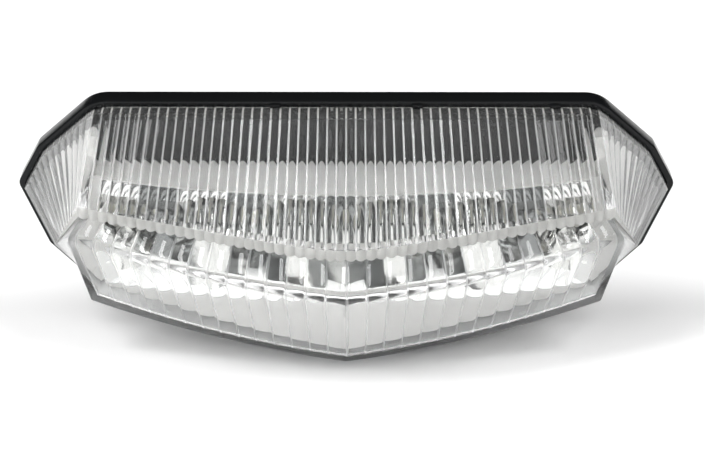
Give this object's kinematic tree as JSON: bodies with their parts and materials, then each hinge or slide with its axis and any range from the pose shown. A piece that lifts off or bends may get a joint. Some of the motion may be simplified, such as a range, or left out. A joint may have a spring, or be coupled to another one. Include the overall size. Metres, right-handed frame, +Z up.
{
  "type": "motorcycle tail light",
  "caption": "Sealed LED motorcycle tail light: black rim housing, clear fluted prow-shaped lens, chrome reflectors, twin rear mounting studs.",
  "frame": {"origin": "middle of the two mounting studs, on the mounting face, which is the back of the rubber pad", "axes": "+X to the right seen from behind the vehicle, +Z up, the light shines towards -Y and the studs stand out along +Y"},
  "size_m": [0.14, 0.0592, 0.053],
  "materials": {
    "housing_black": "black moulded ABS, glossy",
    "pad_rubber": "matt EPDM",
    "stud_steel": "zinc plated",
    "screw_steel": "zinc plated",
    "vent_plastic": "fine matt",
    "seal_silicone": "translucent silicone",
    "lens_clear": "clear polycarbonate, fluted outside, satin on the lip",
    "reflector_chrome": "vacuum metallised",
    "board_mask": "dark solder mask",
    "part_black": "moulded epoxy",
    "header_white": "natural nylon",
    "capacitor_can": "bright can",
    "led_body": "white package"
  },
  "bodies": {
    "root": {"rear_housing": "housing_black", "base_pad": "pad_rubber", "stud_left": "stud_steel", "stud_right": "stud_steel", "cable_grommet": "pad_rubber", "vent_plug": "vent_plastic", "lens_seal": "seal_silicone", "lens": "lens_clear", "upper_reflector": "reflector_chrome", "lower_reflector": "reflector_chrome", "main_board": "board_mask", "board_screws": "screw_steel", "resistors": "part_black", "diode": "part_black", "regulator": "part_black", "wire_header": "header_white", "capacitor": "capacitor_can", "plate_board": "board_mask", "tail_led_1": "led_body", "tail_led_2": "led_body", "tail_led_3": "led_body", "tail_led_4": "led_body", "tail_led_5": "led_body", "tail_led_6": "led_body", "plate_led_1": "led_body", "plate_led_2": "led_body", "plate_led_3": "led_body"}
  },
  "joints": []
}
